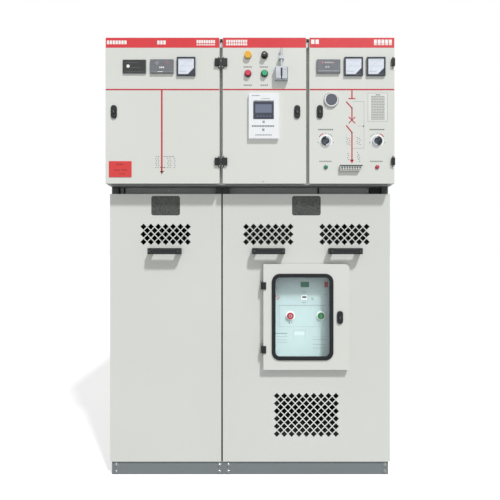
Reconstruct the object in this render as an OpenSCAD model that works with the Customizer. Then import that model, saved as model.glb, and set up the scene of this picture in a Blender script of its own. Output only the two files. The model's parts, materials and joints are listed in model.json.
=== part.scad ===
// Ring main unit: two medium-voltage cubicles on plinths, with one instrument box
// across the top. X runs to the right, Y to the back, Z up. The origin is on the
// floor, at the middle of the four outer anchor holes.

/* [Cubicles] */
// Width of the narrow left cubicle
left_w = 500; // [400:5:600]
// Width of the wide right cubicle
right_w = 750; // [690:5:900]
// Depth of the cubicles, from lower covers to rear covers
depth = 900; // [700:5:1100]
// Height of the plinth
plinth_h = 60; // [45:1:100]
// Height of the lower front covers
cover_h = 1195; // [1150:5:1450]
// Height of the recessed strip between lower covers and instrument box
strip_h = 35; // [28:1:60]
// Height of the instrument box
box_h = 635; // [620:5:800]
// How far the instrument doors stand in front of the lower covers
box_lead = 50; // [30:1:80]
// Depth of the instrument compartment behind its doors
box_room = 340; // [200:5:400]

/* [Sheet metal] */
// Thickness of doors, covers and walls
sheet = 2; // [1.5:0.5:3]
// Thickness of the plinth's folded channel
plinth_t = 4; // [3:0.5:6]
// Depth of the folded rim around doors and covers
rim = 20; // [15:1:28]
// Width of the front posts
post_w = 28; // [20:1:32]
// Gap between the two lower covers
cover_gap = 7; // [5:0.5:12]
// Gap between neighbouring instrument doors
door_gap = 14; // [13:0.5:20]
// Running clearance between a door and the fixed frame
door_clear = 6; // [5:0.5:8]

/* [Anchors and cables] */
// Radius of an anchor hole
anchor_r = 7; // [5:0.5:9]
// Distance of an anchor hole from the end of its rail
anchor_end = 55; // [30:1:90]
// Width of the plinth's bottom flange
flange_w = 45; // [35:1:60]
// Front to back length of the cable slot in each floor
slot_l = 260; // [150:5:400]

/* [Vents] */
// Side of one square vent hole
vent_side = 19.5; // [10:0.5:21]
// Distance between vent columns
vent_pitch = 33; // [30:0.5:40]
// Distance between vent rows
vent_row = 17; // [16:0.5:25]
// Distance from the inspection windows' centres down to the upper vent fields
vent_drop = 128; // [115:1:150]

/* [Windows and handles] */
// Width of an inspection window
pane_w = 128; // [100:1:150]
// Height of an inspection window
pane_h = 87; // [60:1:100]
// Distance from the cover's top edge down to an inspection window
pane_top = 8.5; // [7:0.5:20]
// Length of a cover handle
handle_l = 145; // [110:1:170]
// Height of a cover handle
handle_h = 27; // [20:1:32]
// How far a handle stands out from its cover
handle_out = 40; // [32:1:48]
// Thickness of a handle's bar
handle_t = 12; // [8:1:14]
// Distance from the upper vent fields down to the handles
handle_drop = 75; // [65:1:95]

/* [Glazed door] */
// Width of the glazed door
glazed_w = 379; // [340:1:400]
// Height of the glazed door
glazed_h = 466; // [400:1:520]
// Distance from the handles down to the glazed door's top edge
glazed_drop = 57; // [40:1:80]
// Distance from the seam to the glazed door's left edge
glazed_x = 184; // [150:1:250]
// How far the glazed door stands out from its cover
glazed_out = 22; // [20:1:34]
// Depth of the glazed door's folded rim
glazed_rim = 14; // [10:1:15]
// Width of the rubber gasket around the glass
gasket_w = 16.5; // [12:0.5:20]
// Outer width of the gasket
gasket_x = 271; // [220:1:290]
// Outer height of the gasket
gasket_z = 381; // [320:1:400]
// Outer corner radius of the gasket
gasket_r = 36; // [25:1:45]
// Distance from the door's left edge to the gasket
gasket_in = 37; // [30:1:45]
// Thickness of the glass
glass_t = 5; // [4:0.5:6]

/* [Instruments] */
// Side of a panel meter's bezel
meter_w = 80; // [72:1:96]
// How far a meter's bezel stands out
meter_out = 8; // [6:0.5:14]
// Height of the meters' centres above the box floor
meter_up = 507; // [480:1:540]
// Width of an indicator
indicator_w = 101; // [80:1:110]
// Height of an indicator
indicator_h = 59; // [40:1:70]
// Radius of a push button
button_r = 11.5; // [9:0.5:13]
// Travel of a push button
button_travel = 3; // [2:0.5:4]
// Spacing of the push buttons, side to side
control_x = 72; // [60:1:85]
// Spacing of the push buttons, up and down
control_z = 79; // [65:1:95]
// Width of the protection relay
relay_w = 129; // [110:1:140]
// Height of the protection relay
relay_h = 194; // [170:1:200]
// Radius of the pressure gauge
gauge_r = 29; // [22:1:34]
// Radius of an operating socket's flange
socket_r = 22; // [18:1:26]
// Radius of an operating socket's bore
socket_bore = 14; // [10:0.5:16]
// Depth of an operating socket's bore
socket_l = 60; // [40:1:90]
// Radius of a position lamp
lamp_r = 9; // [6:0.5:12]

/* [Locks and hinges] */
// Width of a lock plate
lock_w = 26; // [22:1:30]
// Height of a lock plate
lock_h = 57; // [45:1:65]
// Radius of a lock's turning barrel
lock_r = 8; // [6:0.5:10]
// Width of a hinge block
hinge_w = 20; // [16:1:24]
// Width of the right door's hinge blocks
outer_hinge_w = 14; // [10:1:20]
// Height of a hinge block
hinge_h = 32; // [26:1:40]
// Radius of a hinge pin
pin_r = 2.5; // [2:0.5:3]

/* [Hidden] */
$fn = 48;
eps = 1;            // how far a cut runs past a face
flush = 0.3;        // running gap of pins, barrels and fitted inserts
split_gap = 0.4;    // gap between separate members of one frame
rear_gap = 2;       // gap between a lower and an upper rear cover
join = 0.15;        // half of the gap between the two cubicles' walls
pane_r = 10;        // corner radius of an inspection window
pane_lap = pane_top - sheet - 0.5;  // how far its flange laps behind the cover

// Overall places
x0 = -(left_w + right_w)/2;
x1 = -x0;
seam = x0 + left_w;
split = seam + right_w/2;
front = -depth/2;
back = depth/2;
box_front = front - box_lead;
z_cover = plinth_h;
z_strip = z_cover + cover_h;
z_box = z_strip + strip_h;
z_top = z_box + box_h;
frame_front = box_front + rim + door_clear;
box_back_y = frame_front + box_room;

// Lower covers
cover_l0 = x0;
cover_l1 = seam - cover_gap/2;
cover_r0 = seam + cover_gap/2;
cover_r1 = x1;
cover_lc = (cover_l0 + cover_l1)/2;
cover_rc = (cover_r0 + cover_r1)/2;
pair_x = 0.2267*right_w;        // handles and vents of the wide cover, off its centre
vent_depth = sheet + 2*eps;
z_pane = z_strip - pane_top - pane_h/2;
z_vent = z_pane - vent_drop;
z_handle = z_vent - handle_drop;

// Glazed door
gx0 = seam + glazed_x;
gx1 = gx0 + glazed_w;
gz1 = z_handle - glazed_drop;
gz0 = gz1 - glazed_h;
g_front = front - glazed_out;
g_pin = [gx0 - pin_r - 3.5, g_front + glazed_rim - 4];
ring_in = 10;       // gap between the glazed door's rim and the raised frame, hinge side
ring_out = front - glazed_out + 12;  // front of the raised frame, behind the door's skin
rx0 = gx0 + ring_in;
rx1 = gx1 - ring_in;
rz0 = gz0 + ring_in;
rz1 = gz1 - ring_in;
gasket_x0 = gx0 + gasket_in;
gasket_cx = gasket_x0 + gasket_x/2;
gasket_cz = (gz0 + gz1)/2;
gasket_lip = 4;
hinge_g = [89, 370];        // hinge centres above the glazed door's bottom edge
leaf_w = 12;                // how far a hinge block laps on to the glazed door's face
leaf_out = 4;               // how far it stands out from that face
glock_x = gx1 - 42;
glock_z = gz0 + 231;
cut_x = gasket_x - 16;      // opening in the skin, inside the gasket's front lip
cut_z = gasket_z - 16;
pane_x = gasket_x - 20;
pane_z = gasket_z - 20;
pane_y = g_front + sheet/2 - glass_t/2;

// Instrument doors: edges, and the hinge pin of each
d1 = [x0, seam - door_gap/2];
d2 = [seam + door_gap/2, split - door_gap/2];
d3 = [split + door_gap/2, x1];
knuckle_r = pin_r + 2;
knuckle_sink = 1;           // how far a hinge block's face lies behind its knuckle
pin_y = box_front - knuckle_r;
pin_1 = d1[1];
pin_2 = d2[0];
pin_3 = d3[1] - knuckle_r;
hinge_up = [97, 525];       // hinge centres above the box floor
ear_t = 2.5;                // thickness of a hinge ear
ear_up = 3;                 // height of an ear above the knuckle's end
ear_rim = 0.5;              // metal of an ear round its pin
ear_foot = 3;               // thickness of an ear's turned foot
ear_reach = 8;              // how far a foot or notch runs to the side
ear_half = 6;               // half of a notch's width
ear_free = 4.5;             // half of a notch's height
door_z0 = z_box + 2;
door_z1 = z_top - 1;
z_dev = z_box + meter_up;
z_lock = z_box + 312;

// Door devices, in X
ind_1 = x0 + 126;
ind_2 = x0 + 245;
met_1 = seam - 150.5;
ctl_x = [seam + 116, seam + 116 + control_x];
ctl_z = [z_box + meter_up - 30, z_box + meter_up - 30 + control_z];
rel_x = seam + 184;
rel_z = z_box + 291;
inter_x = seam + 260;
inter_z = z_box + 473;
inter_w = 57;
inter_out = 18;
inter_slot = [8, 34, 6, 4];  // width, height and depth of its slot, and how far it sits up
bolt_l = 80;
bolt_r = 5;
bolt_guide = [22, 12];      // width and height of the bolt's guide
ind_3 = split + 89;
met_2 = [split + 197, split + 294];
gauge_x = split + 101;
gauge_z = z_box + 363;
sock_x = [split + 78, split + 300];
sock_z = z_box + 186;
lamp_z = z_box + 73.5;
lock_1 = x0 + 37;
lock_2 = split - 46;
lock_3 = split + 52;

// How far each device stands out of its door, and how deep its body reaches behind
ind_out = [5, 8];
ind_deep = 40;
meter_deep = 50;
meter_sink = 3;             // depth of a meter's scale behind its bezel
bezel_t = 5;                // width of a meter's bezel, and overlap of a device's body
cut_gap = 0.5;              // play of a device's body in its cut-out
relay_out = 12;
relay_deep = 90;
screen = [0.67, 0.4, 0.14, 2];  // relay's window: width, height and rise as shares, depth
ring_r = 15;
ring_out_y = 6;
sleeve_r = 12.7;            // threaded sleeve of a push button, lamp or key switch
sleeve_hole = 13;
sleeve_l = 30;
body_l = 40;                // length of a lamp or key switch behind the door
control_out = 12;           // front of a push button or lamp
key_out = 14;
key_r = 10;
stop_l = 5.6;               // stop collar on a push button's tail
gauge_out = 8;
gauge_sink = 3;
gauge_rim = 4;
gauge_l = 35;
sock_out = 5;
sock_t = 2;                 // wall of a socket's sleeve
sock_end = 4;               // thickness of its closed end
lamp_out = 6;
lamp_l = 25;
lamp_rim = 1;
plate_out = 5;
barrel_out = 7;

// Lock cams: each ends 5 mm short of its wall and turns behind a lip on the frame
cam_gap = 5;
cam_w = 12;
cam_t = 3;
keeper_w = 18;
keeper_h = 60;
cam_y = frame_front + sheet + 3;
g_cam_y = ring_out + sheet + 3;
cam_1 = lock_1 - x0 - sheet - cam_gap;
cam_2 = split - sheet/2 - lock_2 - cam_gap;
cam_3 = lock_3 - split - sheet/2 - cam_gap;
cam_g = rx1 - sheet - glock_x - cam_gap;

// Breaker's front plate
brk_sink = 22;      // depth of the recess behind the cover
brk_y = front + brk_sink;
brk_t = 3;
brk_b = [gasket_cx - 49.5, gasket_cx + 88.5];
brk_z = gasket_cz - 2;
brk_ring = 20;      // outer radius of a button's collar
brk_collar = 5;     // how far a collar stands off the plate
brk_lap = 8;        // how far the plate reaches behind the cover
brk_button_r = button_r + 3.5;
brk_proud = 9;      // how far a button stands off the plate
brk_tail = 8;       // length of a button behind the plate
brk_stop = 2.5;     // step on a button's tail that keeps it in

// ---- shapes used by several pieces ----

// Box between two corners
module block(a, b) {
    translate(a) cube(b - a);
}

// Flat rounded rectangle, centred
module rounded(w, h, r) {
    square([w - 2*r, h], center = true);
    square([w, h - 2*r], center = true);
    for (sx = [-1, 1], sz = [-1, 1])
        translate([sx*(w/2 - r), sz*(h/2 - r)]) circle(r);
}

// Stands a flat outline up on the XZ plane: y0 is its front, y1 its back
module upright(x, z, y0, y1) {
    translate([x, y1, z]) rotate([90, 0, 0]) linear_extrude(y1 - y0) children();
}

// Round bar or hole along Y
module rod_y(x, z, y0, y1, r) {
    translate([x, y0, z]) rotate([-90, 0, 0]) cylinder(h = y1 - y0, r = r);
}

// Sheet-metal pan open at the back: a skin with a folded rim
module pan(xa, xb, za, zb, y, deep) {
    difference() {
        block([xa, y, za], [xb, y + deep, zb]);
        block([xa + sheet, y + sheet, za + sheet], [xb - sheet, y + deep + eps, zb - sheet]);
    }
}

// One field of square holes standing on their corners
module vent_field(x, z, rows, first, y) {
    for (r = [0 : rows - 1]) {
        n = first - r % 2;
        for (c = [0 : n - 1])
            translate([x + (c - (n - 1)/2)*vent_pitch, y + sheet/2, z + (r - (rows - 1)/2)*vent_row])
                rotate([0, 45, 0]) cube([vent_side, vent_depth, vent_side], center = true);
    }
}

// Folded channel rail along X, web outside, with one flange on the floor
module rail_x(xa, xb, y, inward, holes) {
    far = y + inward*flange_w;
    web = y + inward*plinth_t;
    difference() {
        union() {
            block([xa, min(y, web), 0], [xb, max(y, web), plinth_h]);
            block([xa, min(y, far), 0], [xb, max(y, far), plinth_t]);
        }
        for (hx = holes)
            translate([hx, y + inward*flange_w*0.6, -eps]) cylinder(h = plinth_t + 2*eps, r = anchor_r);
    }
}

// ---- plinths ----

plinth_in = 6;
module plinth(xa, xb) {
    ya = front + plinth_in;
    yb = back - plinth_in;
    rail_x(xa, xb, ya, 1, [xa + anchor_end, xb - anchor_end]);
    rail_x(xa, xb, yb, -1, [xa + anchor_end, xb - anchor_end]);
    for (s = [[xa, 1], [xb, -1]]) {
        w = s[0] + s[1]*plinth_t;
        block([min(s[0], w), ya + flange_w + split_gap, 0],
            [max(s[0], w), yb - flange_w - split_gap, plinth_h]);
    }
}

module plinth_left() color("slategray") plinth(x0 + plinth_in, seam - join);
module plinth_right() color("slategray") plinth(seam + join, x1 - plinth_in);

// ---- lower cabinet ----

cab_front = front + rim;
cab_back = back - rim;

module floor_plates() color("gainsboro")
    for (s = [[x0 + sheet, seam - join - sheet], [seam + join + sheet, x1 - sheet]]) {
        block([s[0] + flush, cab_front, z_cover], [s[1] - flush, -slot_l/2, z_cover + sheet]);
        block([s[0] + flush, slot_l/2, z_cover], [s[1] - flush, cab_back, z_cover + sheet]);
    }

module outer_sides() color("gainsboro") {
    block([x0, cab_front, z_cover], [x0 + sheet, cab_back, z_box]);
    block([x1 - sheet, cab_front, z_cover], [x1, cab_back, z_box]);
}

module inner_sides() color("gainsboro") {
    block([seam - join - sheet, cab_front, z_cover], [seam - join, cab_back, z_box]);
    block([seam + join, cab_front, z_cover], [seam + join + sheet, cab_back, z_box]);
}

// L-shaped posts behind the edges of the covers, standing on the floor plates
module post(x, dir) {
    a = x + dir*flush;
    b = x + dir*post_w;
    c = b - dir*sheet;
    zf = z_cover + sheet;
    block([min(a, b), cab_front, zf], [max(a, b), cab_front + sheet, z_box]);
    block([min(b, c), cab_front, zf], [max(b, c), cab_front + post_w, z_box]);
}

module front_posts() color("silver") {
    post(x0 + sheet, 1);
    post(seam - join - sheet, -1);
    post(seam + join + sheet, 1);
    post(x1 - sheet, -1);
}

strip_lap = 30;     // how far the header strip hangs behind the covers

// Sheet that closes the strip between the covers and the instrument box
module header_strip() color("dimgray") {
    y = cab_front + post_w;
    for (s = [[x0 + sheet, seam - join - sheet], [seam + join + sheet, x1 - sheet]])
        block([s[0] + flush, y, z_strip - strip_lap], [s[1] - flush, y + sheet, z_box]);
}

// Two folded covers behind each cubicle, one above the other
module rear_covers() color("gainsboro")
    for (s = [[x0, seam - join], [seam + join, x1]],
            h = [[z_cover, z_box - rear_gap/2], [z_box + rear_gap/2, z_top - sheet]])
        translate([0, 2*back, 0]) mirror([0, 1, 0]) pan(s[0], s[1], h[0], h[1], back, rim);

module cover_left() color("gainsboro")
    difference() {
        pan(cover_l0, cover_l1, z_cover, z_strip, front, rim);
        vent_field(cover_lc, z_vent, 5, 7, front);
        upright(cover_lc, z_pane, front - eps, front + sheet + eps)
            rounded(pane_w, pane_h, pane_r);
    }

module cover_right() color("gainsboro")
    difference() {
        pan(cover_r0, cover_r1, z_cover, z_strip, front, rim);
        for (s = [-1, 1]) vent_field(cover_rc + s*pair_x, z_vent, 5, 7, front);
        vent_field(cover_rc, (z_cover + gz0)/2, 11, 9, front);
        upright(cover_rc, z_pane, front - eps, front + sheet + eps)
            rounded(pane_w, pane_h, pane_r);
        block([rx0 + sheet, front - eps, rz0 + sheet], [rx1 - sheet, front + sheet + eps, rz1 - sheet]);
    }

// Dark glazing that fills each window, with a flange behind the cover
module inspection_windows() color("dimgray")
    for (x = [cover_lc, cover_rc]) {
        upright(x, z_pane, front - flush, front + sheet)
            rounded(pane_w - 2*flush, pane_h - 2*flush, pane_r - flush);
        upright(x, z_pane, front + sheet, front + 2*sheet)
            rounded(pane_w + 2*pane_lap, pane_h + 2*pane_lap, pane_r + pane_lap);
    }

// Bow handle: a bar on two legs, with cut corners
module bow(x, z) {
    a = handle_l/2;
    leg = 19;
    cut = 7;
    in = handle_out - handle_t;
    translate([x, front, z - handle_h/2]) linear_extrude(handle_h)
        polygon([[-a, 0], [-a, -handle_out + cut], [-a + cut, -handle_out], [a - cut, -handle_out],
            [a, -handle_out + cut], [a, 0], [a - leg, 0], [a - leg, -in], [-a + leg, -in], [-a + leg, 0]]);
}

module cover_handles() color("black") {
    bow(cover_lc, z_handle);
    for (s = [-1, 1]) bow(cover_rc + s*pair_x, z_handle);
}

// ---- breaker opening ----

// Frame around the opening: four strips raised in front of the cover, and four behind
// it that line the recess back to the breaker
module breaker_frame() color("silver")
    for (y = [[ring_out, front], [front + sheet, brk_y]]) {
        for (x = [rx0, rx1 - sheet]) block([x, y[0], rz0], [x + sheet, y[1], rz1]);
        for (z = [rz0, rz1 - sheet])
            block([rx0 + sheet + split_gap, y[0], z], [rx1 - sheet - split_gap, y[1], z + sheet]);
    }

// The breaker's own front plate, which closes the recess at its back
module breaker_face() color("lightcyan")
    difference() {
        block([rx0 - brk_lap, brk_y, rz0 - brk_lap], [rx1 + brk_lap, brk_y + brk_t, rz1 + brk_lap]);
        for (x = brk_b) rod_y(x, brk_z, brk_y - eps, brk_y + brk_t + eps, brk_button_r + flush);
    }

// Collar round each of the breaker's two buttons, glued to its front plate
module breaker_collars() color("white")
    for (x = brk_b)
        difference() {
            rod_y(x, brk_z, brk_y - brk_collar, brk_y, brk_ring);
            rod_y(x, brk_z, brk_y - brk_collar - eps, brk_y + eps, brk_button_r + flush);
        }

module breaker_button(x, shade) color(shade) {
    rod_y(x, brk_z, brk_y - brk_proud, brk_y + brk_t + brk_tail, brk_button_r);
    rod_y(x, brk_z, brk_y + brk_t + flush, brk_y + brk_t + brk_tail, brk_button_r + brk_stop);
}

module breaker_button_red() breaker_button(brk_b[0], "crimson");
module breaker_button_green() breaker_button(brk_b[1], "seagreen");

// ---- instrument box ----

module box_floor() color("gray")
    for (s = [[x0 + sheet, seam - join - sheet], [seam + join + sheet, x1 - sheet]])
        block([s[0] + flush, frame_front, z_box], [s[1] - flush, box_back_y, z_box + sheet]);

module box_back() color("gainsboro")
    for (s = [[x0 + sheet, seam - join - sheet], [seam + join + sheet, split - sheet/2],
            [split + sheet/2, x1 - sheet]])
        block([s[0] + flush, box_back_y - sheet, z_box + sheet], [s[1] - flush, box_back_y, z_top - sheet]);

module box_walls() color("silver") {
    for (x = [x0, seam - join - sheet, seam + join, x1 - sheet])
        block([x, frame_front, z_box], [x + sheet, cab_back, z_top - sheet]);
    block([split - sheet/2, frame_front, z_box + sheet], [split + sheet/2, box_back_y, z_top - sheet]);
}

module roof_sheets() color("gainsboro")
    for (s = [[x0, seam - join], [seam + join, x1]])
        block([s[0], frame_front, z_top - sheet], [s[1], back, z_top]);

// Fixed half of a hinge: a pin between two ears that reach back to the frame, where
// each turns aside to the wall beside it
module pin_and_ears(x, y, z, foot, wall) {
    half = hinge_h/2 + 1;
    translate([x, y, z - half - ear_up - ear_t]) cylinder(h = 2*(half + ear_up + ear_t), r = pin_r);
    for (s = [-1, 1]) {
        zc = z + s*(half + ear_up);
        translate([x, y, zc - ear_t/2]) cylinder(h = ear_t, r = pin_r + ear_rim);
        block([x - pin_r, y, zc - ear_t/2], [x + pin_r, foot, zc + ear_t/2]);
        block([min(x - pin_r, wall), foot - ear_foot, zc - ear_t], [max(x + pin_r, wall), foot, zc + ear_t]);
    }
}

module hinge_pins() color("dimgray") {
    for (u = hinge_up) {
        pin_and_ears(pin_1, pin_y, z_box + u, frame_front, seam - join);
        pin_and_ears(pin_2, pin_y, z_box + u, frame_front, seam + join);
        pin_and_ears(pin_3, pin_y, z_box + u, frame_front, x1);
    }
    for (u = hinge_g) pin_and_ears(g_pin[0], g_pin[1], gz0 + u, front, g_pin[0] - ear_reach);
}

// Notches that free a door's edge from the ears of its hinge
module ear_room(x, z, side) {
    for (s = [-1, 1]) {
        zc = z + s*(hinge_h/2 + 1 + ear_up);
        block([x - ear_half - (side < 0 ? ear_reach : 0), box_front - eps, zc - ear_free],
            [x + ear_half + (side > 0 ? ear_reach : 0), box_front + rim + eps, zc + ear_free]);
    }
}

// Moving half: a block on the door's face, with its knuckle round the pin
module knuckle(x, z, side, edge, w) {
    za = z - hinge_h/2;
    a = edge - side*w;
    difference() {
        union() {
            block([min(a, edge), pin_y - knuckle_r + knuckle_sink, za],
                [max(a, edge), box_front, za + hinge_h]);
            translate([x, pin_y, za]) cylinder(h = hinge_h, r = knuckle_r);
        }
        translate([x, pin_y, za - eps]) cylinder(h = hinge_h + 2*eps, r = pin_r + flush);
    }
}

// ---- lock shared by all doors ----

// Oval plate with a bore for the turning barrel
module lock_plate(x, z, y) color("black")
    difference() {
        upright(x, z, y - plate_out, y) rounded(lock_w, lock_h, lock_w/2 - 0.5);
        rod_y(x, z, y - plate_out - eps, y + eps, lock_r + flush);
    }

// Turning barrel with its cam behind the keeper, which hangs down when unlocked
module lock_barrel(x, z, y, cam_y, cam_l) color("dimgray") {
    rod_y(x, z, y - barrel_out, cam_y, lock_r);
    block([x - cam_w/2, cam_y, z - cam_l], [x + cam_w/2, cam_y + cam_t, z + cam_w/2]);
}

// Hole in the door for a lock
module lock_hole(x, z, y) {
    rod_y(x, z, y - eps, y + sheet + eps, lock_r + flush);
}

// Front lips of the compartment walls, and the glazed door's keeper: the cams turn
// behind them
module frame_lips() color("silver") {
    for (s = [[x0 + sheet, 1], [seam - join - sheet, -1], [seam + join + sheet, 1],
              [split - sheet/2, -1], [split + sheet/2, 1], [x1 - sheet, -1]])
        block([min(s[0], s[0] + s[1]*keeper_w), frame_front, z_box + sheet],
            [max(s[0], s[0] + s[1]*keeper_w), frame_front + sheet, z_top - sheet]);
    block([rx1 - sheet - keeper_w, ring_out, glock_z - keeper_h/2],
        [rx1 - sheet, ring_out + sheet, glock_z + keeper_h/2]);
}

// ---- instrument doors ----

module door_pan(d) {
    pan(d[0], d[1], door_z0, door_z1, box_front, rim);
}

// Square-cut hole for the body of a device whose bezel is w by h
module cutout(x, z, w, h) {
    less = 2*(bezel_t - cut_gap);
    upright(x, z, box_front - eps, box_front + sheet + eps) square([w - less, h - less], center = true);
}

// Square instrument: a bezel on the door's face and a body through it
module flush_unit(x, z, w, h, proud, deep) {
    upright(x, z, box_front - proud, box_front) square([w, h], center = true);
    upright(x, z, box_front, box_front + deep) square([w - 2*bezel_t, h - 2*bezel_t], center = true);
}

module panel_meter(x, z) {
    difference() {
        flush_unit(x, z, meter_w, meter_w, meter_out, meter_deep);
        upright(x, z, box_front - meter_out - eps, box_front - meter_out + meter_sink)
            square([meter_w - 2*bezel_t, meter_w - 2*bezel_t], center = true);
    }
}

module door_left() color("gainsboro")
    difference() {
        door_pan(d1);
        for (x = [ind_1, ind_2]) cutout(x, z_dev, indicator_w, indicator_h);
        cutout(met_1, z_dev, meter_w, meter_w);
        lock_hole(lock_1, z_lock, box_front);
        for (u = hinge_up) ear_room(pin_1, z_box + u, 1);
    }

module indicators_left() color("darkslategray") {
    flush_unit(ind_1, z_dev, indicator_w, indicator_h, ind_out[0], ind_deep);
    flush_unit(ind_2, z_dev, indicator_w, indicator_h, ind_out[1], ind_deep);
}

module meter_left() color("dimgray") panel_meter(met_1, z_dev);

module hinge_left() color("black")
    for (u = hinge_up) knuckle(pin_1, z_box + u, 1, d1[1], hinge_w);

module lock_plate_left() lock_plate(lock_1, z_lock, box_front);
module lock_barrel_left() lock_barrel(lock_1, z_lock, box_front, cam_y, cam_1);

module door_middle() color("gainsboro")
    difference() {
        door_pan(d2);
        for (x = ctl_x, z = ctl_z) rod_y(x, z, box_front - eps, box_front + sheet + eps, sleeve_hole);
        cutout(rel_x, rel_z, relay_w, relay_h);
        lock_hole(lock_2, z_lock, box_front);
        for (u = hinge_up) ear_room(pin_2, z_box + u, -1);
    }

// Collars of the lower push buttons and the body of the key switch
module control_rings() color("silver") {
    for (x = ctl_x)
        difference() {
            union() {
                rod_y(x, ctl_z[0], box_front - ring_out_y, box_front, ring_r);
                rod_y(x, ctl_z[0], box_front, box_front + sleeve_l, sleeve_r);
            }
            rod_y(x, ctl_z[0], box_front - ring_out_y - eps, box_front + sleeve_l + eps, button_r + flush);
        }
    rod_y(ctl_x[1], ctl_z[1], box_front - ring_out_y, box_front, ring_r);
    rod_y(ctl_x[1], ctl_z[1], box_front - key_out, box_front - ring_out_y, key_r);
    rod_y(ctl_x[1], ctl_z[1], box_front, box_front + body_l, sleeve_r);
}

module lamp_yellow() color("gold") {
    rod_y(ctl_x[0], ctl_z[1], box_front - control_out, box_front, ring_r);
    rod_y(ctl_x[0], ctl_z[1], box_front, box_front + body_l, sleeve_r);
}

// Push button: a cap in front and a stop collar behind its sleeve
module push_button(x, shade) color(shade) {
    tail = box_front + sleeve_l + split_gap;
    rod_y(x, ctl_z[0], box_front - control_out, tail + stop_l, button_r);
    rod_y(x, ctl_z[0], tail, tail + stop_l, sleeve_r);
}

module button_red() push_button(ctl_x[0], "crimson");
module button_green() push_button(ctl_x[1], "seagreen");

// Bezel with a recessed screen and a body through the door
module protection_relay() color("whitesmoke")
    difference() {
        flush_unit(rel_x, rel_z, relay_w, relay_h, relay_out, relay_deep);
        upright(rel_x, rel_z + relay_h*screen[2], box_front - relay_out - eps,
                box_front - relay_out + screen[3])
            square([relay_w*screen[0], relay_h*screen[1]], center = true);
    }

// Interlock lock: a square body with a slot, and its bolt standing up in a guide
module interlock_lock() color("silver") {
    difference() {
        upright(inter_x, inter_z, box_front - inter_out, box_front) square([inter_w, inter_w], center = true);
        upright(inter_x, inter_z + inter_slot[3], box_front - inter_out - eps,
                box_front - inter_out + inter_slot[2])
            square([inter_slot[0], inter_slot[1]], center = true);
    }
    translate([inter_x, box_front - inter_out/2, inter_z + inter_w/2]) cylinder(h = bolt_l, r = bolt_r);
    upright(inter_x, inter_z + inter_w/2 + bolt_l/2, box_front - inter_out + 2, box_front)
        square(bolt_guide, center = true);
}

module hinge_middle() color("black")
    for (u = hinge_up) knuckle(pin_2, z_box + u, -1, d2[0], hinge_w);

module lock_plate_middle() lock_plate(lock_2, z_lock, box_front);
module lock_barrel_middle() lock_barrel(lock_2, z_lock, box_front, cam_y, cam_2);

// Right door
module door_right() color("gainsboro")
    difference() {
        door_pan(d3);
        cutout(ind_3, z_dev, indicator_w, indicator_h);
        for (x = met_2) cutout(x, z_dev, meter_w, meter_w);
        rod_y(gauge_x, gauge_z, box_front - eps, box_front + sheet + eps, gauge_r - gauge_rim);
        for (x = sock_x) {
            rod_y(x, sock_z, box_front - eps, box_front + sheet + eps, socket_bore + sock_t + flush);
            rod_y(x, lamp_z, box_front - eps, box_front + sheet + eps, lamp_r - lamp_rim);
        }
        lock_hole(lock_3, z_lock, box_front);
        for (u = hinge_up) ear_room(pin_3, z_box + u, 1);
    }

module indicator_right() color("darkslategray")
    flush_unit(ind_3, z_dev, indicator_w, indicator_h, ind_out[1], ind_deep);

module meters_right() color("dimgray")
    for (x = met_2) panel_meter(x, z_dev);

module pressure_gauge() color("black") {
    difference() {
        rod_y(gauge_x, gauge_z, box_front - gauge_out, box_front, gauge_r);
        rod_y(gauge_x, gauge_z, box_front - gauge_out - eps, box_front - gauge_out + gauge_sink,
            gauge_r - gauge_rim);
    }
    rod_y(gauge_x, gauge_z, box_front, box_front + gauge_l, gauge_r - gauge_rim - flush);
}

// Two sleeves that take the operating handle
module operating_sockets() color("dimgray")
    for (x = sock_x)
        difference() {
            union() {
                rod_y(x, sock_z, box_front - sock_out, box_front, socket_r);
                rod_y(x, sock_z, box_front, box_front - sock_out + socket_l + sock_end, socket_bore + sock_t);
            }
            rod_y(x, sock_z, box_front - sock_out - eps, box_front - sock_out + socket_l, socket_bore);
        }

module position_lamps() color("seagreen")
    for (x = sock_x) {
        rod_y(x, lamp_z, box_front - lamp_out, box_front, lamp_r);
        rod_y(x, lamp_z, box_front, box_front + lamp_l, lamp_r - lamp_rim - flush);
    }

module hinge_right() color("black")
    for (u = hinge_up) knuckle(pin_3, z_box + u, 1, d3[1], outer_hinge_w);

module lock_plate_right() lock_plate(lock_3, z_lock, box_front);
module lock_barrel_right() lock_barrel(lock_3, z_lock, box_front, cam_y, cam_3);

// ---- glazed door ----

module glazed_door() color("gainsboro")
    difference() {
        pan(gx0, gx1, gz0, gz1, g_front, glazed_rim);
        upright(gasket_cx, gasket_cz, g_front - eps, g_front + sheet + eps)
            rounded(cut_x, cut_z, gasket_r - 8);
        lock_hole(glock_x, glock_z, g_front);
    }

// Rubber profile that grips the skin outside and the glass inside
module glass_gasket() color("black")
    difference() {
        upright(gasket_cx, gasket_cz, g_front - gasket_lip, g_front + sheet + gasket_lip)
            rounded(gasket_x, gasket_z, gasket_r);
        upright(gasket_cx, gasket_cz, g_front - gasket_lip - eps, g_front + sheet + gasket_lip + eps)
            rounded(gasket_x - 2*gasket_w, gasket_z - 2*gasket_w, gasket_r - gasket_w);
        upright(gasket_cx, gasket_cz, pane_y, pane_y + glass_t) rounded(pane_x, pane_z, gasket_r - 10);
        difference() {
            block([gx0, g_front, gz0], [gx1, g_front + sheet, gz1]);
            upright(gasket_cx, gasket_cz, g_front - eps, g_front + sheet + eps)
                rounded(cut_x, cut_z, gasket_r - 8);
        }
    }

module glass_pane() color("lightcyan", 0.4)
    upright(gasket_cx, gasket_cz, pane_y, pane_y + glass_t) rounded(pane_x, pane_z, gasket_r - 10);

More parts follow.
